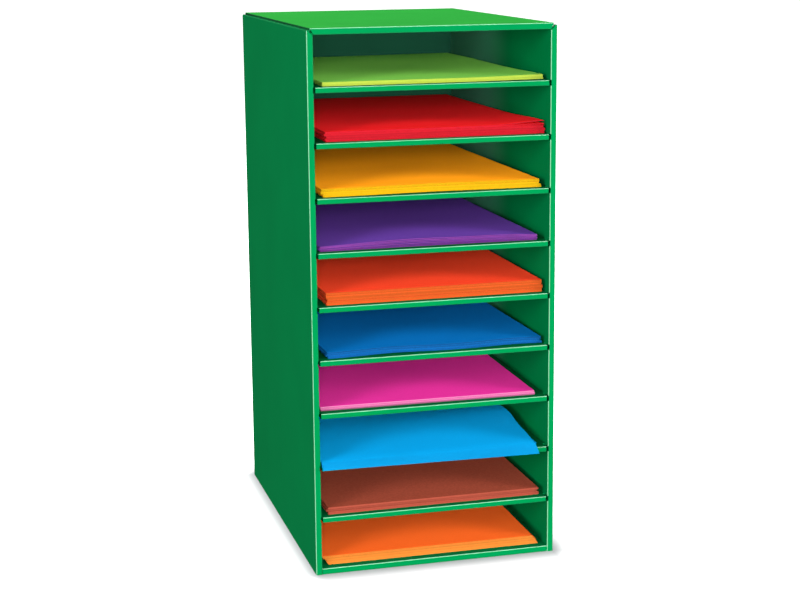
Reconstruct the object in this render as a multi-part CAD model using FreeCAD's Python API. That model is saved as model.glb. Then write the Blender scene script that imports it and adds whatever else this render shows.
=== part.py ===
import FreeCAD, Part
import math
import os

from FreeCAD import Vector

# Ten-slot paper organiser of creased corrugated board. Two double walls, a top, a bottom and a
# back are folded blanks whose flaps tuck between the boards of their neighbours. Nine folded
# shelves hang in slots of the walls' inner boards, and a stack of paper lies in every slot.
# Millimetres. X to the right, Y to the back, Z up, origin under the middle of the casing.

# Paper, 12 by 18 inch sheets, and the room that the casing leaves round it
paper_width = 305.0
paper_length = 457.0
side_room = 20.8        # over the paper's width, both sides together
end_room = 10.2         # over the paper's length
ply_height = 2.7        # a stack is modelled as bundles of about this height
ply_shift = 1.1         # how far a bundle lies off its neighbours

# Board and folds
board = 2.8             # corrugated board, before it is doubled
play = 0.2              # play between pieces that slot together
crease = 1.4            # outer radius of a fold

# Slots and shelves
shelf_count = 9
shelf_thickness = 7.5   # two boards, held apart by the folded front strip
slot_pitch = 73.1       # from one shelf to the next
top_slot = 67.9         # clear height above the highest shelf
slot_play = 0.3         # room above a shelf's tabs in the wall slots
strip_cutback = 2.4     # the shelf's front strip stops short of the walls
notch_depth = 16.0      # from the front face to the first side tab
slot_stop = 12.0        # the wall slots end this far before the back's side flaps
crease_nick = 1.2       # how far a slot cuts into the wall's front crease

# Flaps
wall_flap = 30.0        # width of a wall's top flap, from its outer face
wall_flap_setback = 6.0
side_flap = 53.0        # reach of the back's side flaps, from its rear face
side_flap_drop = 80.0   # they end this far below the top
end_flap = 45.0         # reach of the back's top and bottom flaps
end_flap_inset = 12.9
floor_flap = 60.0       # height of the bottom's upturned side flaps
floor_flap_inset = 25.0
flap_gap = 15.0         # between the flaps of two pieces
flap_taper = 12.0
lid_inset = 4.5         # the top's side edge from the wall's outer face
mitre_inset = 1.4       # the top's strip stops short of the walls at its lower edge

# Heights of the stacks, from the bottom slot up
tangerine_height = 13.0
brown_height = 10.0
light_blue_height = 3.0
pink_height = 6.0
blue_height = 9.0
orange_height = 17.0
purple_height = 6.0
yellow_height = 11.0
red_height = 13.5
lime_height = 5.5

# name, height, share of the side room to its left, share of the end room in front, skew in
# degrees; from the bottom slot up
paper_stacks = [
    ("paper_tangerine", tangerine_height, 0.28, 0.5, -0.3),
    ("paper_brown", brown_height, 0.6, 0.6, 0.3),
    ("paper_light_blue", light_blue_height, 0.37, 0.6, 0.0),
    ("paper_pink", pink_height, 0.16, 0.25, -0.3),
    ("paper_blue", blue_height, 0.79, 0.5, 0.5),
    ("paper_orange", orange_height, 0.7, 0.5, 0.3),
    ("paper_purple", purple_height, 0.19, 0.6, -0.3),
    ("paper_yellow", yellow_height, 0.6, 0.65, 0.2),
    ("paper_red", red_height, 0.81, 0.65, 0.4),
    ("paper_lime", lime_height, 0.6, 0.65, 0.3),
]

# Top sheets drawn forward and askew off the light blue stack. Their left lies nearly flat and
# droops over the shelf's front edge, their right is bowed up and pulled straight.
drawn_from = "paper_light_blue"
drawn_height = 0.8
drawn_lift = 0.3        # above the stack
drawn_share = 0.375     # share of the side room to their left, half way along
drawn_reach = 13.0      # of the front edge, past the casing's front
drawn_skew = 1.5        # degrees, front to the left
drawn_take_up = 4.0     # of their length, by the bow and the droop
bow_left = 4.0          # height of the bow at the sheets' left and right edges
bow_right = 15.0
bow_setback = 140.0     # of the bow's crest, from the front
bow_half = 118.0
bow_radius = 300.0
lip_reach = 1.0         # of the bend over the shelf's edge, past the casing's front
lip_rise = 0.7          # of the sheets at that bend
lip_radius = 18.0
droop_left = 9.9        # drop of the front edge's ends below the shelf's top
droop_right = -1.4

# Casing, from the paper and the slots
wall = 3 * board + play             # two boards with room between them for a flap
inside = (paper_width + side_room) / 2
width = 2 * (inside + wall)
depth = paper_length + end_room + board
height = wall + shelf_count * slot_pitch + top_slot + wall
front = -depth / 2
back = depth / 2
outer = -width / 2
inner = -inside
back_face = back - board            # front face of the back
liner_back = back_face - play
slot_back = back - side_flap - slot_stop
lid_under = height - board          # underside of the top's upper board
flap_under = lid_under - board
floor_top = wall


def in_plan(point):
    return Vector(point.x, point.y, 0)


def in_side(point):
    return Vector(0, point.x, point.y)


def in_front_view(point):
    return Vector(point.x, 0, point.y)


def rounded_face(corners, place):
    """Flat face through corners (u, v, radius), each rounded by its own radius."""
    count = len(corners)
    turns = []
    for i in range(count):
        u, v, radius = corners[i]
        corner = Vector(u, v, 0)
        if radius == 0:
            turns.append((corner, corner, corner))
            continue
        before = Vector(corners[i - 1][0], corners[i - 1][1], 0) - corner
        after = Vector(corners[(i + 1) % count][0], corners[(i + 1) % count][1], 0) - corner
        before.normalize()
        after.normalize()
        half_angle = before.getAngle(after) / 2
        reach = radius / math.tan(half_angle)
        inward = (before + after).normalize()
        middle = corner + inward * (radius / math.sin(half_angle) - radius)
        turns.append((corner + before * reach, middle, corner + after * reach))
    edges = []
    for i in range(count):
        start, middle, end = turns[i]
        if start != end:
            edges.append(Part.Arc(place(start), place(middle), place(end)).toShape())
        following = turns[(i + 1) % count][0]
        edges.append(Part.LineSegment(place(end), place(following)).toShape())
    return Part.Face(Part.Wire(edges))


def prism(points, place, start, length):
    """Prism on a polygon, drawn square to the polygon's plane from start over length."""
    face = rounded_face([(u, v, 0) for u, v in points], place)
    axis = {in_plan: Vector(0, 0, 1), in_side: Vector(1, 0, 0), in_front_view: Vector(0, 1, 0)}[place]
    face.translate(axis * start)
    return face.extrude(axis * length)


def block(low, high):
    """Box between two opposite corners."""
    size = [b - a for a, b in zip(low, high)]
    return Part.makeBox(size[0], size[1], size[2], Vector(*low))


def mirrored(shape):
    return shape.mirror(Vector(0, 0, 0), Vector(1, 0, 0))


def folded_front(top, under, half_width, upper_back, lower_back):
    """Board folded double round a front strip: upper board, strip and lower board."""
    corners = [
        (upper_back, top, 0),
        (front, top, crease),
        (front, under, crease),
        (lower_back, under, 0),
        (lower_back, under + board, 0),
        (front + board, under + board, 0),
        (front + board, top - board, 0),
        (upper_back, top - board, 0),
    ]
    face = rounded_face(corners, in_side)
    face.translate(Vector(-half_width, 0, 0))
    return face.extrude(Vector(2 * half_width, 0, 0))


def shelf_top(number):
    return floor_top + number * slot_pitch


def left_wall():
    """Outer board, front strip and slotted inner board of one blank, with a flap at the top."""
    corners = [
        (outer, back, 0),
        (outer, front, crease),
        (inner, front, crease),
        (inner, liner_back, 0),
        (inner - board, liner_back, 0),
        (inner - board, front + board, 0),
        (outer + board, front + board, 0),
        (outer + board, back, 0),
    ]
    shape = rounded_face(corners, in_plan).extrude(Vector(0, 0, lid_under))
    behind_strip = front + board
    inner_top = block((inner - board - play, behind_strip, flap_under), (inner + 1, back, height))
    inner_foot = block((inner - board - play, behind_strip, -1), (inner + 1, back, board))
    shape = shape.cut(inner_top).cut(inner_foot)
    flap_front = front + wall_flap_setback
    flap_back = back - end_flap - flap_gap
    flap = prism([
        (outer + board / 2, flap_front),
        (outer + wall_flap, flap_front + flap_taper),
        (outer + wall_flap, flap_back - flap_taper),
        (outer + board / 2, flap_back),
    ], in_plan, flap_under, board)
    shape = shape.fuse(flap)
    rounding = [
        (outer, -1, 0),
        (outer + wall_flap + 1, -1, 0),
        (outer + wall_flap + 1, lid_under, 0),
        (outer, lid_under, crease),
    ]
    envelope = rounded_face(rounding, in_front_view)
    envelope.translate(Vector(0, front - 1, 0))
    shape = shape.common(envelope.extrude(Vector(0, depth + 2, 0)))
    mitre_drop = wall - crease
    shape = shape.cut(prism([
        (outer + crease, lid_under),
        (inner + 1, lid_under - mitre_drop - 1),
        (inner + 1, lid_under + 1),
        (outer + crease, lid_under + 1),
    ], in_front_view, front - 1, board + 1))
    for number in range(1, shelf_count + 1):
        top = shelf_top(number) + slot_play
        under = shelf_top(number) - shelf_thickness
        slot = block((inner - board - play, behind_strip, under), (inner + 1, slot_back, top))
        nick = block((inner - crease_nick, front - 1, under), (inner + 1, behind_strip, top))
        shape = shape.cut(slot).cut(nick)
    return shape.removeSplitter()


def top_panel():
    """Folded top: its upper board lies on the walls' flaps, its lower board hangs below them."""
    lid_half = width / 2 - lid_inset
    fit_half = inside - play
    shape = folded_front(height, height - wall, lid_half, back, liner_back)
    side = block((fit_half, front + board, 0), (lid_half + 1, back + 1, lid_under))
    mitre = prism([
        (lid_half, height),
        (inside - mitre_inset, height - wall),
        (inside - mitre_inset, height - wall - 1),
        (lid_half + 1, height - wall - 1),
        (lid_half + 1, height),
    ], in_front_view, front - 1, board + 1)
    for cutter in (side, mitre):
        shape = shape.cut(cutter).cut(mirrored(cutter))
    return shape.removeSplitter()


def bottom_panel():
    """Folded bottom with two upturned flaps that stand inside the double walls."""
    flap_face = outer + board + play / 2
    corners = [
        (flap_face, floor_flap, 0),
        (flap_face, 0, crease),
        (-flap_face, 0, crease),
        (-flap_face, floor_flap, 0),
        (-flap_face - board, floor_flap, 0),
        (-flap_face - board, board, 0),
        (flap_face + board, board, 0),
        (flap_face + board, floor_flap, 0),
    ]
    tray = rounded_face(corners, in_front_view)
    tray.translate(Vector(0, front, 0))
    tray = tray.extrude(Vector(0, depth, 0))
    reach = back - floor_flap_inset
    outline = prism([
        (-reach, -1),
        (reach, -1),
        (reach, board),
        (reach - flap_taper, floor_flap),
        (-reach + flap_taper, floor_flap),
        (-reach, board),
    ], in_side, -width / 2, width)
    folded = folded_front(floor_top, 0, inside - play, liner_back, back)
    return tray.common(outline).fuse(folded).removeSplitter()


def back_panel():
    """Back with four flaps: two inside the walls, one in the top and one in the bottom."""
    flap_face = width / 2 - board - play / 2
    flap_front = back - side_flap
    corners = [
        (-flap_face, flap_front, 0),
        (-flap_face, back, crease),
        (flap_face, back, crease),
        (flap_face, flap_front, 0),
        (flap_face - board, flap_front, 0),
        (flap_face - board, back_face, 0),
        (-flap_face + board, back_face, 0),
        (-flap_face + board, flap_front, 0),
    ]
    sheet = rounded_face(corners, in_plan)
    sheet.translate(Vector(0, 0, board))
    sheet = sheet.extrude(Vector(0, 0, lid_under - board))
    rounding = [
        (back_face, board, 0),
        (back, board, crease),
        (back, lid_under, crease),
        (back_face, lid_under, 0),
    ]
    plate = rounded_face(rounding, in_side)
    plate.translate(Vector(-width / 2, 0, 0))
    plate = plate.extrude(Vector(width, 0, 0))
    flap_low = floor_flap + flap_gap
    flap_high = height - side_flap_drop
    flaps = prism([
        (back_face, flap_low),
        (back_face, flap_high),
        (flap_front, flap_high - flap_taper),
        (flap_front, flap_low + flap_taper),
    ], in_side, -width / 2, width)
    shape = sheet.common(plate.fuse(flaps))
    end_half = inside - end_flap_inset
    for under in (board, flap_under):
        shape = shape.fuse(prism([
            (-end_half, back_face + board / 2),
            (-end_half, back_face),
            (-end_half + flap_taper, back - end_flap),
            (end_half - flap_taper, back - end_flap),
            (end_half, back_face),
            (end_half, back_face + board / 2),
        ], in_plan, under, board))
    return shape.removeSplitter()


def shelf(number):
    """Folded shelf with side tabs that reach through the wall slots to the outer boards."""
    top = shelf_top(number)
    tab_half = width / 2 - board - play
    body_half = inside - play
    strip_half = inside - strip_cutback
    tab_front = front + notch_depth
    tab_back = slot_back - play
    shape = folded_front(top, top - shelf_thickness, tab_half, liner_back, liner_back)
    half = [
        (strip_half, front - 1),
        (strip_half, tab_front),
        (tab_half - crease, tab_front),
        (tab_half, tab_front + flap_taper),
        (tab_half, tab_back - flap_taper),
        (tab_half - crease, tab_back),
        (body_half, tab_back),
        (body_half, liner_back),
    ]
    outline = half + [(-x, y) for x, y in reversed(half)]
    shape = shape.common(prism(outline, in_plan, top - shelf_thickness - 1, shelf_thickness + 2))
    return shape.removeSplitter()


def paper_stack(slot, stack_height, side_share, end_share, skew):
    """Stack of sheets, as bundles that lie a little off each other."""
    turn = math.sin(math.radians(abs(skew)))
    side_free = side_room - 2 * (ply_shift + play) - paper_length * turn
    end_free = end_room - 2 * (ply_shift + play) - paper_width * turn
    middle = (front + back_face) / 2
    plies = max(1, round(stack_height / ply_height))
    ply = stack_height / plies
    shape = None
    for i in range(plies):
        shift = ply_shift * math.sin(2.4 * i + slot)
        slide = ply_shift * math.cos(1.7 * i + slot)
        low = (-paper_width / 2 + shift, -paper_length / 2 + slide, i * ply)
        high = (paper_width / 2 + shift, paper_length / 2 + slide, (i + 1) * ply)
        bundle = block(low, high)
        shape = bundle if shape is None else shape.fuse(bundle)
    shape.rotate(Vector(0, 0, 0), Vector(0, 0, 1), skew)
    off_side = (side_share - 0.5) * side_free
    off_end = (end_share - 0.5) * end_free
    shape.translate(Vector(off_side, middle + off_end, shelf_top(slot)))
    return shape


def drawn_sheet():
    """Few sheets drawn forward: flat on the stack, bowed up, then drooping over the shelf edge."""
    turn = math.radians(drawn_skew)
    middle_x = (drawn_share - 0.5) * side_room
    middle_y = front - drawn_reach + paper_length / 2
    slot = [stack[0] for stack in paper_stacks].index(drawn_from)
    rest = paper_stacks[slot][1] + drawn_lift
    ends = []
    for x, bow, droop in (
        (-paper_width / 2, bow_left, droop_left),
        (paper_width / 2, bow_right, droop_right),
    ):
        # the bends run parallel to the shelf's front edge, so they lie askew in the sheets
        crest = (front + bow_setback - middle_y + x * math.sin(turn)) / math.cos(turn)
        lip = (front - lip_reach - middle_y + x * math.sin(turn)) / math.cos(turn)
        path = [
            (paper_length / 2 - drawn_take_up, rest, 0),
            (crest + bow_half, rest, bow_radius),
            (crest, rest + bow, bow_radius),
            (lip, rest + lip_rise, lip_radius),
            (-paper_length / 2, -droop, 0),
        ]
        upper = [(y, z + drawn_height, radius) for y, z, radius in reversed(path)]
        face = rounded_face(path + upper, in_side)
        face.translate(Vector(x, 0, 0))
        ends.append(face.OuterWire)
    shape = Part.makeLoft(ends, True, True)
    shape.rotate(Vector(0, 0, 0), Vector(0, 0, 1), -drawn_skew)
    shape.translate(Vector(middle_x, middle_y, shelf_top(slot)))
    return shape


def save(name, shape):
    if not shape.isValid():
        raise ValueError(name + " is not a valid shape")
    shape.exportStep("parts/" + name + ".step")


os.makedirs("parts", exist_ok=True)
side = left_wall()
save("left_wall", side)
save("right_wall", mirrored(side))
save("top_panel", top_panel())
save("bottom_panel", bottom_panel())
save("back_panel", back_panel())
for number in range(1, shelf_count + 1):
    save("shelf_" + str(number), shelf(number))
for slot, stack in enumerate(paper_stacks):
    save(stack[0], paper_stack(slot, *stack[1:]))
save("drawn_sheet", drawn_sheet())
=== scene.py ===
import math
import random

import bpy
from mathutils import Matrix, Vector


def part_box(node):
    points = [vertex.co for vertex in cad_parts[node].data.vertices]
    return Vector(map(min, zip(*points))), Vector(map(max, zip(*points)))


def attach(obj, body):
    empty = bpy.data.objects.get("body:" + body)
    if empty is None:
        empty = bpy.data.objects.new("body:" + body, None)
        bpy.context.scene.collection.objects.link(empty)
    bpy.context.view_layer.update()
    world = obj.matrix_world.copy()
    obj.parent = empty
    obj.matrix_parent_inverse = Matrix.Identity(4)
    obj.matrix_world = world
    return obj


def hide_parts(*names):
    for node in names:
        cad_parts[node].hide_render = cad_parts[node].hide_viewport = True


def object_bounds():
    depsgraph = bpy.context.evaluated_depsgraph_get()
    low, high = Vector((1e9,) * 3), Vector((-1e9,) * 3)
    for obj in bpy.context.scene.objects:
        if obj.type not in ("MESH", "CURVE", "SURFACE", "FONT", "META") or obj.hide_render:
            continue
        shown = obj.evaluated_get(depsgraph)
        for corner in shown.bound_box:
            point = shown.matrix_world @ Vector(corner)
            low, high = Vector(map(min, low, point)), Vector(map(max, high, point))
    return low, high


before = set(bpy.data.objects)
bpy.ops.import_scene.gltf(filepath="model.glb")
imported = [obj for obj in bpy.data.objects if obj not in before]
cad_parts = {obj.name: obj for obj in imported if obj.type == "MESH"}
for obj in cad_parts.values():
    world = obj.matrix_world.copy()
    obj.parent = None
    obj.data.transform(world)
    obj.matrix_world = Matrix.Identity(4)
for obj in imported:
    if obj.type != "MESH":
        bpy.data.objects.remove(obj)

# Looks of a ten-slot paper organiser of coated green corrugated board. The casing and shelves are
# the frame's own nodes with board materials. Every stack of paper is replaced by a pile of thin,
# slightly uneven bundles of sheets, and the drawn sheets by three bent ones. Lengths named _mm and
# those of the drawn sheets are millimetres, the rest metres.

cad_low, cad_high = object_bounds()
MM = 0.001

# Camera, as the photograph was taken
IMAGE_WIDTH = 800
FOCAL_PIXELS = 1737.7
AXIS_ROW = 276          # image row of the optical axis
CENTRE_ROW = 300
SENSOR_MM = 36.0
CAMERA_PLACE_MM = (-639.9, -2442.3, 867.5)
CAMERA_YAW = 0.2614      # radians from +Y towards +X
CAMERA_PITCH = 0.1972    # radians down
CAMERA_ROLL = -0.0088
CLIP_END = 100.0        # past the floor's far corners

# Light. A level of 1 shows white paper that is square to the light as full white.
LIGHT_DISTANCE = 5.0
SOFTBOXES = [           # name, degrees left of the front, degrees up, size, level
    ("left_softbox", 52, 10, (2.0, 2.2), 1.25),
    ("right_softbox", -52, 10, (2.0, 2.2), 1.25),
    ("front_fill", 6, 5, (2.0, 1.6), 2.2),
    ("back_fill", 160, 45, (2.4, 2.0), 1.3),
]
OVERHEAD_LEVEL = 0.45
OVERHEAD_SPREAD = 40    # degrees
WORLD_LEVEL = 0.2
WORLD_SEEN = 1.0        # brightness of the world to the camera

# Floor
FLOOR_REACH = 40.0
FLOOR_ROUGHNESS = 0.9
FLOOR_WHITE = (0.9, 0.9, 0.9)
FLOOR_GLOW = 0.62
SHADOW = (0.24, 0.243, 0.252, 1)
SHADOW_REACH = (-0.02, 0.15)    # from the casing's footprint, where it is full and gone
SHADOW_NARROWING = (3.2, 2.2)   # that reach is divided by this at the sides and at the ends

# Paper
PAPER_WIDTH = 0.305
PAPER_LENGTH = 0.457
PILE_LENGTH = 0.450
PILE_SETBACK_MM = 13.0  # of the piles' fronts from the shelves' fronts
BUNDLE_MM = 1.0         # a pile is built of bundles about this thick
SEAM_TONE = 0.82        # painted shade on the lowest edge of each run of sheets that lies on another
DECK_GAP_MM = 0.05
ACROSS = 22             # squares of a bundle's mesh
ALONG = 14
CROWDING = 1.5          # of the rows of squares towards a pile's front
GROUP_TURN = 0.25       # degrees, most that a run of sheets lies askew
GROUP_SHADES = (0.9, 1.1)
BUNDLE_SHADES = (0.9, 1.08)
JITTER_X_MM = 0.35      # of single bundles
JITTER_Y_MM = 0.3
ROLL_START = 0.12       # share of a roll that the lowest bundle already has
LAST_SHARE = 0.999      # keeps the topmost bundle in the last run of sheets
CURL_STEEPNESS = 14     # how far a curled corner is left to the topmost sheets
CURL_REACH = (0.14, 0.22)
SHARP_ANGLE = 35        # degrees, from which an edge is shaded as sharp

# Sheets drawn forward off the light blue stack, in mm
SHEET_COUNT = 3
SHEET_THICK = 0.25
SHEET_STEP = 0.28
SHEET_SKEW = 1.5        # degrees
SHEET_SLIP = 0.8        # that each lies behind the one on it, and most that it lies to a side
FRONT_ROWS = 24         # rows of the sheets' mesh near their front edge, and their pitch
FRONT_PITCH = 2.2
OTHER_ROWS = 26
SHEET_TAKE_UP = 4.2     # of their length, by the bow and the droop
SHEET_REST = 3.3        # above the shelf
BOW_LEFT = 4.0
BOW_RIGHT = 15.0
BOW_SETBACK = 140.0     # of the bow's crest, from the front
BOW_HALF = 118.0
BOW_SPREAD = 34.0       # reach of the bend at the crest
LIP_REACH = 1.0         # of the bend over the shelf's edge, past its front
LIP_RISE = 0.7
LIP_SPREAD = 7.6
DROOP_LEFT = 4.2        # drop of the front edge's ends below the shelf's top
DROOP_RIGHT = 4.4
DENT_MM = 2.4           # pressed in near the right edge
DENT = (1.0, -128.0, 0.16, 24.0)

# Surfaces. A noise is its waves per metre and its detail. Tones are how dark and how light it
# makes the paint. Faces are told by a part of their normal, from where they don't count at all to
# where they count in full.
NOISE_RANGE = (0.25, 0.75)      # that a noise mostly keeps to

# Corrugated board
BOARD_MM = 2.8
BOARD_ROUGHNESS = 0.45  # the shader's own value, under the link from the fibres
LEAST_ROUGHNESS = 0.36
FIBRE_ROUGHNESS = 0.16  # added by the fibres
BOARD_SPECULAR = 0.002
BOARD_FIBRES = (1400.0, 4.0)
BOARD_CLOUDS = (11.0, 2.0)
BOARD_TONES = (0.96, 1.04)
BOARD_RELIEF_MM = 0.05
FLUTE_RELIEF = 0.5      # shares of the relief
FIBRE_RELIEF = 0.35
FLUTE_PITCH_MM = 6.4
FLUTE_SWING = 0.3       # share of the board's thickness
FLUTE_THICK = 0.1
LINER_STARTS = 0.38     # from the board's middle
CUT_FACING = 0.95       # part of a normal, past which a cut face is raw
TOP_FACES = (0.8, 0.95)         # upward part
INNER_FACES = (-0.05, -0.12)    # x and y parts times the place: below 0 where a face looks inwards
PAINTED_DEEP = (-0.07, 0.1)     # y where the painted reflection and shade deep in the slots begins and is full
FOLD_FACES = (0.975, 0.91)      # largest part of a normal
FRONT_FACES = (-0.15, -0.4)     # y part
LIT_FACES = (-0.2, 0.6)         # upward less rightward part
CREASE_HIGHLIGHT = 0.52             # painted highlight on the front creases where they face up and left, towards the light
LEAST_WEAR = 0.02
CREASE_PATCHES = (170.0, 3.0)
PATCH_SWING = 0.7       # of the creases' wear and painted highlight from patch to patch, over its least
PATCH_LEAST = 0.65

# Paper's surface
PAPER_ROUGHNESS = 0.92
PAPER_SPECULAR = 0.05
SHEEN = 0.45
SHEEN_ROUGHNESS = 0.5
PAPER_FIBRES = (2600.0, 5.0)
FIBRE_TONES = (0.93, 1.07)
PAPER_FLECKS = (420.0, 4.0)
SPECKLE = 0.05          # how far the flecks go either way from the paper's tone
PAPER_CLOUDS = (14.0, 2.0)
CLOUD_TONES = (0.97, 1.03)
FRONT_PAINTED_SHADE = 2.7      # painted shade of the drawn sheets' faces where they bend towards the front
LINES = (28, 28, 3600)  # of single sheets in a cut edge, waves per metre along x, y and z
LINE_DETAIL = 2.0
LINE_TONES = (0.9, 1.09)
EDGE_MOTTLE = (260.0, 2.0)
MOTTLE_TONES = (0.95, 1.05)
LEVEL_FACES = (0.55, 0.85)      # upward or downward part
LINE_RELIEF = 0.4       # share of the relief
PAPER_RELIEF_MM = 0.06


# ---------------------------------------------------------------- materials

def colour(red, green, blue):
    """Linear colour from 0 to 255 values as a screen shows them."""
    linear = []
    for value in (red, green, blue):
        share = value / 255
        linear.append(share / 12.92 if share <= 0.04045 else ((share + 0.055) / 1.055) ** 2.4)
    return (*linear, 1.0)


class Graph:
    """Shader nodes of one material."""

    def __init__(self, name, roughness, specular):
        self.material = bpy.data.materials.new(name)
        self.material.use_nodes = True
        self.tree = self.material.node_tree
        self.shader = self.tree.nodes["Principled BSDF"]
        self.shader.inputs["Roughness"].default_value = roughness
        self.shader.inputs["Specular IOR Level"].default_value = specular
        coordinates = self.tree.nodes.new("ShaderNodeTexCoord")
        self.place = coordinates.outputs["Object"]
        self.normal = coordinates.outputs["Normal"]

    def add(self, kind, inputs, output=0, **settings):
        """New node with its settings and its inputs, a socket or a value each."""
        node = self.tree.nodes.new("ShaderNode" + kind)
        for key, value in settings.items():
            setattr(node, key, value)
        for key, value in inputs.items():
            if isinstance(value, bpy.types.NodeSocket):
                self.tree.links.new(value, node.inputs[key])
            else:
                node.inputs[key].default_value = value
        return node.outputs[output]

    def math(self, operation, first, second=0.0, third=0.0):
        return self.add("Math", {0: first, 1: second, 2: third}, operation=operation)

    def steps(self, value, low, high):
        """0 at low and 1 at high, smooth between them."""
        inputs = {"Value": value, "From Min": low, "From Max": high}
        return self.add("MapRange", inputs, interpolation_type="SMOOTHSTEP")

    def mix(self, share, first, second):
        """The first colour at a share of 0 and the second at 1."""
        inputs = {0: share, 6: first, 7: second}    # sockets 6 and 7 are a mix's colours
        return self.add("Mix", inputs, output=2, data_type="RGBA")

    def scale(self, paint, factor):
        """Paint times a number or another colour, part by part."""
        return self.add("VectorMath", {0: paint, 1: factor}, operation="MULTIPLY")

    def product(self, *factors):
        """Numbers multiplied together."""
        total = factors[0]
        for factor in factors[1:]:
            total = self.math("MULTIPLY", total, factor)
        return total

    def flutes(self, along):
        """The board's waves, from -1 to 1."""
        return self.math("SINE", self.product(along, 2 * math.pi / (FLUTE_PITCH_MM * MM)))

    def split(self, vector):
        node = self.tree.nodes.new("ShaderNodeSeparateXYZ")
        self.tree.links.new(vector, node.inputs[0])
        return node.outputs[0], node.outputs[1], node.outputs[2]

    def noise(self, scale, detail=3.0, stretch=(1, 1, 1)):
        """Noise from 0 to 1 about 0.5, with scale in waves per metre."""
        place = self.add("Mapping", {"Vector": self.place, "Scale": stretch})
        return self.add("TexNoise", {"Vector": place, "Scale": scale, "Detail": detail})

    def brightness(self, paint, value, low, high):
        """Paint times low to high as value, a noise, goes through its range."""
        tint = paint if isinstance(paint, bpy.types.NodeSocket) else paint[:3]
        inputs = {"Value": value, "To Min": low, "To Max": high}
        inputs["From Min"], inputs["From Max"] = NOISE_RANGE
        return self.scale(tint, self.add("MapRange", inputs))

    def bump(self, height, depth_mm):
        inputs = {"Height": height, "Distance": depth_mm * MM, "Strength": 1.0}
        self.tree.links.new(self.add("Bump", inputs), self.shader.inputs["Normal"])

    def paint(self, base, roughness=None):
        self.tree.links.new(base, self.shader.inputs["Base Color"])
        if roughness is not None:
            self.tree.links.new(roughness, self.shader.inputs["Roughness"])
        return self.material


def board(name, green, lit_top=None, painted_deep_in=None, cut_sides=False, cut_back=False):
    """Coated corrugated board: satin green, pale creases, raw cut edges where asked for. Its
    creases are worn a little, and the front ones are painted paler as a highlight where they face
    up and left.

    The paint for its level top is lighter, as painted light from above. The paint for its inner
    side
    far back stands in for the light there: a paler painted reflection on the walls, darker painted
    shade on the back panel."""
    graph = Graph(name, BOARD_ROUGHNESS, BOARD_SPECULAR)
    x, y, z = graph.split(graph.place)
    towards = graph.add("VectorMath", {0: graph.normal}, operation="ABSOLUTE")
    side, end, level = graph.split(towards)
    facing_x, facing_y, facing_z = graph.split(graph.normal)

    fibres = graph.noise(*BOARD_FIBRES)
    clouds = graph.noise(*BOARD_CLOUDS)
    # painted light: the level top is painted a lighter green than the rest of the board
    if lit_top:
        green = graph.mix(graph.steps(facing_z, *TOP_FACES), green, lit_top)
    # painted reflection and shade: inner faces far back get their own paint in place of the light
    # there
    if painted_deep_in:
        outwards = graph.math("MULTIPLY_ADD", facing_y, y, graph.product(facing_x, x))
        painted_deep = graph.product(graph.steps(outwards, *INNER_FACES), graph.steps(y, *PAINTED_DEEP))
        green = graph.mix(painted_deep, green, painted_deep_in)
    paint = graph.brightness(green, fibres, *BOARD_TONES)
    paint = graph.brightness(paint, clouds, *BOARD_TONES)

    flattest = graph.math("MAXIMUM", graph.math("MAXIMUM", side, end), level)
    fold = graph.steps(flattest, *FOLD_FACES)
    # painted highlight: front creases facing up and left are painted paler, as if catching the
    # light; the small rest is wear
    lit = graph.steps(graph.math("SUBTRACT", facing_z, facing_x), *LIT_FACES)
    catches_light = graph.product(lit, graph.steps(facing_y, *FRONT_FACES))
    wear_and_highlight = graph.math("MULTIPLY_ADD", catches_light, CREASE_HIGHLIGHT, LEAST_WEAR)
    patches = graph.noise(*CREASE_PATCHES)
    patches = graph.math("MULTIPLY_ADD", patches, PATCH_SWING, PATCH_LEAST)
    paint = graph.mix(graph.product(fold, wear_and_highlight, patches), paint, CREASE_WEAR_AND_HIGHLIGHT)

    flutes = graph.flutes(y)
    if cut_sides or cut_back:
        cut = cut_edge(graph, z, flutes)
    if cut_sides:
        paint = graph.mix(graph.math("GREATER_THAN", side, CUT_FACING), paint, cut)
    if cut_back:
        paint = graph.mix(graph.math("GREATER_THAN", facing_y, CUT_FACING), paint, cut)

    washboard = graph.mix(end, flutes, graph.flutes(x))
    fine = graph.product(fibres, FIBRE_RELIEF)
    graph.bump(graph.math("MULTIPLY_ADD", washboard, FLUTE_RELIEF, fine), BOARD_RELIEF_MM)
    roughness = graph.math("MULTIPLY_ADD", fibres, FIBRE_ROUGHNESS, LEAST_ROUGHNESS)
    return graph.paint(paint, roughness)


def cut_edge(graph, z, flutes):
    """Paint of a raw edge: liners with the waves between them on the casing's top board, and plain
    below it. The hollows between liners and waves are painted dark as shade."""
    from_top = graph.math("SUBTRACT", cad_high.z, z)
    across = graph.math("SUBTRACT", graph.math("DIVIDE", from_top, BOARD_MM * MM), 0.5)
    off_wave = graph.math("SUBTRACT", across, graph.product(flutes, FLUTE_SWING))
    medium = graph.math("LESS_THAN", graph.math("ABSOLUTE", off_wave), FLUTE_THICK)
    liner = graph.math("GREATER_THAN", graph.math("ABSOLUTE", across), LINER_STARTS)
    return graph.mix(graph.math("MAXIMUM", medium, liner), CUT_HOLLOW_SHADE, CUT_SOLID)


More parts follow.
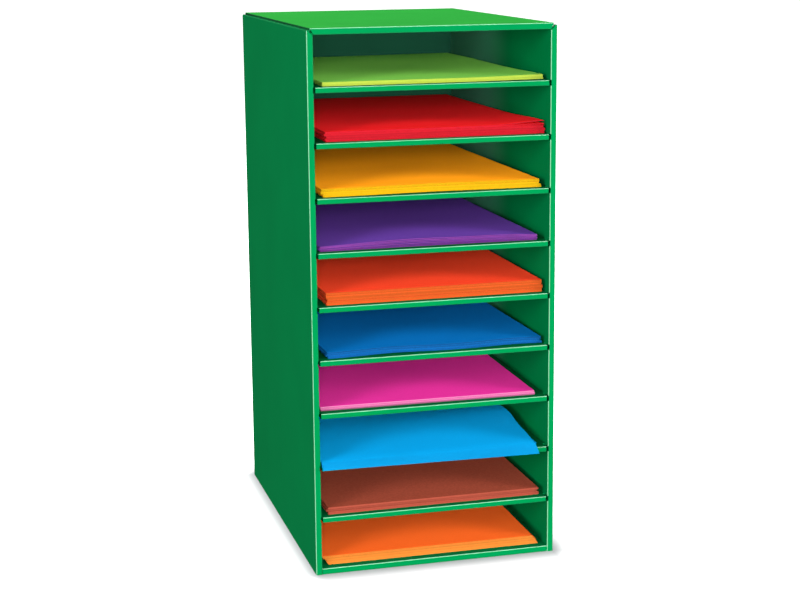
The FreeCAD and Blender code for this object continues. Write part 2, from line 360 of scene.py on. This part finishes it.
def paper(name, top, edge, painted_front_shade=0.0, speckle=SPECKLE):
    """Construction paper: fibrous, matt, with its cut edges in fine lines of single sheets.

    A painted front shade, where given, darkens its face where it bends towards the front, and also
    paints it a little lighter where it bends away. speckle is how strongly its face is flecked."""
    graph = Graph(name, PAPER_ROUGHNESS, PAPER_SPECULAR)
    graph.shader.inputs["Sheen Weight"].default_value = SHEEN
    graph.shader.inputs["Sheen Roughness"].default_value = SHEEN_ROUGHNESS
    graph.shader.inputs["Sheen Tint"].default_value = top
    _, facing_y, facing_z = graph.split(graph.normal)
    level = graph.math("ABSOLUTE", facing_z)
    fibres = graph.noise(*PAPER_FIBRES)
    face = graph.brightness(top, fibres, *FIBRE_TONES)
    face = graph.brightness(face, graph.noise(*PAPER_FLECKS), 1 - speckle, 1 + speckle)
    face = graph.brightness(face, graph.noise(*PAPER_CLOUDS), *CLOUD_TONES)
    # painted light and shade: the face is darker where it turns to the front and lighter where it
    # tilts away
    if painted_front_shade:
        forward = graph.math("MAXIMUM", graph.product(facing_y, -painted_front_shade), 0.0)
        face = graph.scale(face, graph.math("DIVIDE", 1.0, graph.math("ADD", level, forward)))

    lines = graph.noise(1.0, LINE_DETAIL, stretch=LINES)
    rim = graph.brightness(edge, lines, *LINE_TONES)
    rim = graph.brightness(rim, graph.noise(*EDGE_MOTTLE), *MOTTLE_TONES)
    rim = graph.scale(rim, graph.add("Attribute", {}, output=2, attribute_name="tone"))

    flat = graph.steps(level, *LEVEL_FACES)
    edge_lines = graph.product(graph.math("SUBTRACT", 1.0, flat), LINE_RELIEF)
    graph.bump(graph.math("MULTIPLY_ADD", lines, edge_lines, fibres), PAPER_RELIEF_MM)
    return graph.paint(graph.mix(flat, rim, face))


# ---------------------------------------------------------------- paper piles

def hump(u, v, u_middle, v_middle, u_reach, v_reach):
    """Round rise of height 1 at its middle, in the units of u and v."""
    return math.exp(-((u - u_middle) / u_reach) ** 2 - ((v - v_middle) / v_reach) ** 2)


class Pile:
    """One stack of paper, u from its left to its right edge and v from its front to its back."""

    def __init__(self, node, top, edge, groups, step_mm, humps=(), skew=0.0, looseness=0.0,
                 roll_mm=0.0, drift_mm=0.0, curl_mm=0.0, shift_mm=0.0, fade=(1.0, 1.0),
                 speckle=SPECKLE, seam=SEAM_TONE):
        self.node = node
        self.top = top
        self.edge = edge
        self.humps = humps              # height in mm, u, v, reach in u and v, share at the bottom
        self.groups = groups            # runs of sheets that lie together
        self.step_mm = step_mm          # how far a group lies off its neighbours
        self.skew = skew                # degrees
        self.looseness = looseness      # gaps between bundles, as a share of their thickness
        self.roll_mm = roll_mm          # how far the middle sheets bulge out at the front
        self.drift_mm = drift_mm        # how far the lowest sheets lie right of the top ones
        self.curl_mm = curl_mm          # lift of the top sheets' front right corner
        self.shift_mm = shift_mm        # of the whole pile to the right
        self.fade = fade                # painted light and shade of its edges: brightness at the bottom and the top
        self.speckle = speckle          # of its topmost sheet
        self.seam = seam                # brightness of the edge where two groups meet: painted shade below 1, painted highlight above 1

    def lift(self, u, v, share):
        """How far above its flat place the pile is at u, v, at a share of its height."""
        total = 0.0
        for height_mm, u_middle, v_middle, u_reach, v_reach, at_bottom in self.humps:
            grown = at_bottom + (1 - at_bottom) * share
            total += height_mm * grown * hump(u, v, u_middle, v_middle, u_reach, v_reach)
        total += self.curl_mm * share ** CURL_STEEPNESS * hump(u, v, 1.0, 0.0, *CURL_REACH)
        return total * MM


def grid_faces(faces, first, across, along):
    """Faces of a closed slab: a grid of vertices from first, one like it above, a rim between."""
    row = across + 1
    layer = row * (along + 1)
    for j in range(along):
        for i in range(across):
            a = first + j * row + i
            faces.append((a, a + row, a + row + 1, a + 1))
            b = a + layer
            faces.append((b, b + 1, b + row + 1, b + row))
    rim = [first + i for i in range(across)]
    rim += [first + across + j * row for j in range(along)]
    rim += [first + along * row + across - i for i in range(across)]
    rim += [first + (along - j) * row for j in range(along)]
    for i, a in enumerate(rim):
        b = rim[(i + 1) % len(rim)]
        faces.append((a, b, b + layer, a + layer))


def add_bundle(vertices, faces, pile, share, spin, centre, bottom, top):
    """Closed bundle of a pile's sheets: a grid below, a grid above and a rim between them."""
    first = len(vertices)
    for height in (bottom, top):
        for j in range(ALONG + 1):
            for i in range(ACROSS + 1):
                u, v = i / ACROSS, (j / ALONG) ** CROWDING
                place = spin @ Vector(((u - 0.5) * PAPER_WIDTH, (v - 0.5) * PILE_LENGTH, 0))
                z = height + pile.lift(u, v, share)
                vertices.append((place.x + centre.x, place.y + centre.y, z))
    grid_faces(faces, first, ACROSS, ALONG)


def new_piece(name, vertices, faces, tones, material):
    """Smooth piece with sharp edges, and a tone for each vertex that its paper's edges follow."""
    mesh = bpy.data.meshes.new(name)
    mesh.from_pydata(vertices, [], faces)
    mesh.update()
    mesh.materials.append(material)
    tone = mesh.attributes.new("tone", "FLOAT", "POINT")
    tone.data.foreach_set("value", tones)
    piece = bpy.data.objects.new(name, mesh)
    bpy.context.scene.collection.objects.link(piece)
    mesh.shade_smooth()
    mesh.set_sharp_from_angle(angle=math.radians(SHARP_ANGLE))
    return piece


def build_pile(pile, body):
    """Replace a paper node by its pile, from the lowest bundle up."""
    low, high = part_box(pile.node)
    middle = (low + high) / 2
    middle.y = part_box("shelf_1")[0].y + PILE_SETBACK_MM * MM + PILE_LENGTH / 2
    height = high.z - low.z - DECK_GAP_MM * MM
    chance = random.Random(pile.node)
    count = max(2, round(height / (BUNDLE_MM * MM)))
    thickness = height / count
    solid = thickness / (1 + pile.looseness)
    last_group = None
    vertices, faces, tones = [], [], []
    for number in range(count):
        share = number / (count - 1)
        group = int(share * LAST_SHARE * pile.groups)
        if group != last_group:
            across, along = chance.uniform(-1, 1), chance.uniform(-1, 1)
            turn = chance.uniform(-GROUP_TURN, GROUP_TURN)
            shade = chance.uniform(*GROUP_SHADES)
        off_x = across * pile.step_mm + chance.uniform(-JITTER_X_MM, JITTER_X_MM)
        off_x += pile.drift_mm * (0.5 - share)
        off_x += pile.shift_mm
        off_y = along * pile.step_mm + chance.uniform(-JITTER_Y_MM, JITTER_Y_MM)
        off_y -= pile.roll_mm * math.sin(math.pi * min(1.0, share + ROLL_START))
        spin = Matrix.Rotation(math.radians(pile.skew + turn), 3, "Z")
        centre = Vector((middle.x + off_x * MM, middle.y + off_y * MM, 0))
        bottom = low.z + DECK_GAP_MM * MM + number * thickness
        add_bundle(vertices, faces, pile, share, spin, centre, bottom, bottom + solid)

        # painted light and shade on the edges, from the bottom of the pile to its top
        fade = pile.fade[0] * (1 - share) + pile.fade[1] * share
        tone = shade * chance.uniform(*BUNDLE_SHADES) * fade
        # painted shade at each seam between runs of sheets; above 1 it paints a highlight there
        if number > 0 and group != last_group:
            tone *= pile.seam
        tones += [tone] * (len(vertices) - len(tones))
        last_group = group
    material = paper(pile.node + "_paper", pile.top, pile.edge, speckle=pile.speckle)
    piece = new_piece(pile.node + "_pile", vertices, faces, tones, material)
    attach(piece, body)
    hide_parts(pile.node)


# ---------------------------------------------------------------- drawn sheets

class Bend:
    """Height of a bent sheet along its length: straight runs, joined by bends of a given reach."""

    def __init__(self, points):
        self.points = points            # (place, height, reach of the bend there), in mm
        self.slopes = []
        for first, second in zip(points, points[1:]):
            self.slopes.append((second[1] - first[1]) / (second[0] - first[0]))

    def at(self, place):
        height = self.points[0][1] + self.slopes[0] * (place - self.points[0][0])
        for i, (corner, _, reach) in enumerate(self.points[1:-1]):
            turn = self.slopes[i + 1] - self.slopes[i]
            past = min(max(place - corner, -reach), reach)
            height += turn * ((past + reach) ** 2 / (4 * reach) + max(place - corner - reach, 0))
        return height


def build_drawn_sheets():
    """Three sheets drawn forward askew: bowed up on the right, drooping over the shelf's edge."""
    low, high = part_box("drawn_sheet")
    middle = (low + high) / 2
    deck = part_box("shelf_2")[1].z
    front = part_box("shelf_2")[0].y / MM
    turn = math.radians(SHEET_SKEW)
    half_length = (PAPER_LENGTH / MM - SHEET_TAKE_UP) / 2
    stations = [-half_length + FRONT_PITCH * i for i in range(FRONT_ROWS)]
    rest = half_length - stations[-1]
    stations += [stations[-1] + rest * (i / OTHER_ROWS) for i in range(1, OTHER_ROWS + 1)]
    vertices, faces = [], []
    for number in range(SHEET_COUNT):
        chance = random.Random(number)
        base = SHEET_REST + number * SHEET_STEP
        slip_x = chance.uniform(-SHEET_SLIP, SHEET_SLIP)
        slip_y = SHEET_SLIP * (SHEET_COUNT - 1 - number)
        bends = []
        for side in (-1, 1):
            across = side * PAPER_WIDTH / 2 / MM
            lip = front - LIP_REACH - middle.y / MM + across * math.sin(turn)
            crest = front + BOW_SETBACK - middle.y / MM + across * math.sin(turn)
            bow = BOW_LEFT if side < 0 else BOW_RIGHT
            droop = DROOP_LEFT if side < 0 else DROOP_RIGHT
            bends.append(Bend([
                (-half_length, number * SHEET_STEP - droop, 0),
                (lip, base + LIP_RISE, LIP_SPREAD),
                (crest, base + bow, BOW_SPREAD),
                (crest + BOW_HALF, base, BOW_SPREAD / 2),
                (half_length, base, 0),
            ]))
        first = len(vertices)
        for lift in (0.0, SHEET_THICK):
            for station in stations:
                for i in range(ACROSS + 1):
                    u = i / ACROSS
                    height = bends[0].at(station) * (1 - u) + bends[1].at(station) * u
                    height -= DENT_MM * hump(u, station, *DENT)
                    across = (u - 0.5) * PAPER_WIDTH / MM + slip_x
                    along = station + slip_y
                    x = middle.x / MM + across * math.cos(turn) + along * math.sin(turn)
                    y = middle.y / MM - across * math.sin(turn) + along * math.cos(turn)
                    vertices.append((x * MM, y * MM, deck + (height + lift) * MM))
        grid_faces(faces, first, ACROSS, len(stations) - 1)
    material = paper("drawn_sheets_paper", LIGHT_BLUE, LIGHT_BLUE_EDGE, painted_front_shade=FRONT_PAINTED_SHADE)
    piece = new_piece("drawn_sheets_bowed", vertices, faces, [1.0] * len(vertices), material)
    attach(piece, "drawn_sheets")
    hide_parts("drawn_sheet")


# ---------------------------------------------------------------- stage

def camera():
    data = bpy.data.cameras.new("camera")
    data.sensor_width = SENSOR_MM
    data.lens = FOCAL_PIXELS / IMAGE_WIDTH * SENSOR_MM
    data.shift_y = (AXIS_ROW - CENTRE_ROW) / IMAGE_WIDTH
    data.clip_end = CLIP_END
    ahead = Vector((
        math.sin(CAMERA_YAW) * math.cos(CAMERA_PITCH),
        math.cos(CAMERA_YAW) * math.cos(CAMERA_PITCH),
        -math.sin(CAMERA_PITCH),
    ))
    level = Vector((math.cos(CAMERA_YAW), -math.sin(CAMERA_YAW), 0))
    upright = level.cross(ahead)
    right = math.cos(CAMERA_ROLL) * level + math.sin(CAMERA_ROLL) * upright
    up = -math.sin(CAMERA_ROLL) * level + math.cos(CAMERA_ROLL) * upright
    holder = bpy.data.objects.new("camera", data)
    turn = Matrix((right, up, -ahead)).transposed().to_4x4()
    holder.matrix_world = Matrix.Translation(Vector(CAMERA_PLACE_MM) * MM) @ turn
    bpy.context.scene.collection.objects.link(holder)
    bpy.context.scene.camera = holder


def softbox(name, azimuth, elevation, size, level):
    """Rectangular light on a sphere round the object, facing its middle."""
    turn, rise = math.radians(azimuth), math.radians(elevation)
    ahead, left = math.cos(turn) * math.cos(rise), math.sin(turn) * math.cos(rise)
    away = Vector((-left, -ahead, math.sin(rise)))
    data = bpy.data.lights.new(name, "AREA")
    data.shape = "RECTANGLE"
    data.size, data.size_y = size
    data.energy = level * (math.pi * LIGHT_DISTANCE) ** 2
    light = bpy.data.objects.new(name, data)
    light.location = Vector((0, 0, cad_high.z / 2)) + away * LIGHT_DISTANCE
    light.rotation_euler = away.to_track_quat("Z", "Y").to_euler()
    bpy.context.scene.collection.objects.link(light)


def lights():
    for box in SOFTBOXES:
        softbox(*box)
    sun = bpy.data.lights.new("overhead", "SUN")
    sun.energy = OVERHEAD_LEVEL * math.pi
    sun.angle = math.radians(OVERHEAD_SPREAD)
    holder = bpy.data.objects.new("overhead", sun)
    bpy.context.scene.collection.objects.link(holder)

    world = bpy.data.worlds.new("studio")
    world.use_nodes = True
    nodes = world.node_tree.nodes
    links = world.node_tree.links
    seen = nodes.new("ShaderNodeLightPath")
    brightness = nodes.new("ShaderNodeMix")
    brightness.inputs[2].default_value = WORLD_LEVEL
    brightness.inputs[3].default_value = WORLD_SEEN
    links.new(seen.outputs["Is Camera Ray"], brightness.inputs[0])
    links.new(brightness.outputs[0], nodes["Background"].inputs["Strength"])
    nodes["Background"].inputs["Color"].default_value = (1, 1, 1, 1)
    bpy.context.scene.world = world


def floor():
    """Pale floor with a soft contact shadow round the casing."""
    reach = FLOOR_REACH
    mesh = bpy.data.meshes.new("floor")
    corners = [(-reach, -reach, 0), (reach, -reach, 0), (reach, reach, 0), (-reach, reach, 0)]
    mesh.from_pydata(corners, [], [(0, 1, 2, 3)])
    plane = bpy.data.objects.new("floor", mesh)
    graph = Graph("floor", FLOOR_ROUGHNESS, 0.0)
    x, y, _ = graph.split(graph.place)
    away = []
    for place, edge, narrowing in zip((x, y), cad_high, SHADOW_NARROWING):
        past = graph.math("SUBTRACT", graph.math("ABSOLUTE", place), edge)
        away.append(graph.product(graph.math("MAXIMUM", past, 0.0), narrowing))
    clear = graph.steps(graph.math("ADD", *away), *SHADOW_REACH)
    shade = graph.mix(clear, SHADOW, (1, 1, 1, 1))
    graph.paint(graph.scale(shade, FLOOR_WHITE))
    graph.tree.links.new(shade, graph.shader.inputs["Emission Color"])
    graph.shader.inputs["Emission Strength"].default_value = FLOOR_GLOW
    mesh.materials.append(graph.material)
    plane.visible_diffuse = False
    plane.visible_glossy = False
    bpy.context.scene.collection.objects.link(plane)


# ---------------------------------------------------------------- the object

GREEN = colour(0, 92, 47)
# lighter green painted on the lid's level top as light from above
LIT_LID_GREEN = colour(35, 137, 48)
# darker green painted on the back panel's inner side as shade
BACK_SHADE_GREEN = colour(22, 68, 49)
# paler, greyer green painted far back on the walls' inner faces as a reflection
PAINTED_REFLECTION_GREEN = colour(66, 134, 104)
# pale crease colour: worn coating, and a painted highlight where the creases face the light
CREASE_WEAR_AND_HIGHLIGHT = colour(130, 170, 147)
# dark paint in the hollows of a raw edge, as shade
CUT_HOLLOW_SHADE = colour(8, 40, 24)
CUT_SOLID = colour(22, 92, 50)
LIGHT_BLUE = colour(0, 143, 205)
LIGHT_BLUE_EDGE = colour(0, 106, 148)

BOARD_KINDS = {         # the shelves are told by their names
    "left_wall": "wall",
    "right_wall": "wall",
    "bottom_panel": "wall",
    "top_panel": "lid",
    "back_panel": "back",
}

PILES = [               # from the bottom slot up: name, top sheet's colour, cut edges' colour
    Pile("paper_tangerine", colour(220, 88, 27), colour(146, 84, 28), groups=3, step_mm=1.2,
         skew=-0.2, drift_mm=8.0, shift_mm=0.6),
    Pile("paper_brown", colour(132, 58, 41), colour(108, 46, 34), groups=3, step_mm=1.5, skew=0.3,
         shift_mm=-3.0, speckle=0.2),
    Pile("paper_light_blue", LIGHT_BLUE, LIGHT_BLUE_EDGE, groups=1, step_mm=0.6),
    Pile("paper_pink", colour(208, 43, 139), colour(122, 70, 97), groups=3, step_mm=1.0,
         skew=-0.3, roll_mm=1.0, shift_mm=1.5, fade=(0.5, 1.5)),
    Pile("paper_blue", colour(0, 94, 162), colour(4, 54, 97), groups=3, step_mm=1.5, skew=0.5,
         looseness=0.25, shift_mm=-3.0, seam=1.25,
         humps=[(2.2, 0.3, 0.0, 0.18, 0.3, 0.9), (1.8, 0.85, 0.0, 0.14, 0.3, 0.8)]),
    Pile("paper_orange", colour(230, 62, 33), colour(135, 55, 16), groups=4, step_mm=1.3, skew=0.3,
         drift_mm=1.5),
    Pile("paper_purple", colour(88, 52, 140), colour(82, 35, 90), groups=4, step_mm=1.0,
         skew=-0.3, looseness=0.3, shift_mm=1.5, fade=(0.85, 1.3), seam=1.25,
         humps=[(5.2, 0.42, 0.0, 0.34, 0.5, 0.1), (3.0, 0.85, 0.0, 0.2, 0.4, 0.1)]),
    Pile("paper_yellow", colour(247, 150, 20), colour(139, 109, 4), groups=3, step_mm=1.4, skew=0.2,
         shift_mm=-2.0, humps=[(0.8, 0.5, 0.0, 0.25, 0.3, 1.0)]),
    Pile("paper_red", colour(210, 24, 27), colour(126, 12, 22), groups=4, step_mm=0.9, skew=0.4,
         drift_mm=3.0, curl_mm=4.4),
    Pile("paper_lime", colour(102, 165, 64), colour(108, 122, 39), groups=1, step_mm=0.4, skew=0.3,
         shift_mm=2.5, humps=[(1.6, 1.0, 0.0, 0.2, 0.25, 0.6), (1.8, 1.0, 0.8, 0.35, 0.3, 0.6)]),
]

camera()
lights()
floor()
bpy.context.scene.view_settings.view_transform = "Standard"

boards = {
    "wall": board("wall_board", GREEN, painted_deep_in=PAINTED_REFLECTION_GREEN, cut_back=True),
    "lid": board("lid_board", GREEN, lit_top=LIT_LID_GREEN, cut_sides=True, cut_back=True),
    "shelf": board("shelf_board", GREEN),
    "back": board("back_board", GREEN, painted_deep_in=BACK_SHADE_GREEN),
}
for name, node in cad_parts.items():
    kind = "shelf" if name.startswith("shelf") else BOARD_KINDS.get(name)
    if kind:
        node.data.materials.clear()
        node.data.materials.append(boards[kind])

for pile in PILES:
    paper_colour = pile.node.replace("paper_", "")
    build_pile(pile, paper_colour + "_stack")
build_drawn_sheets()
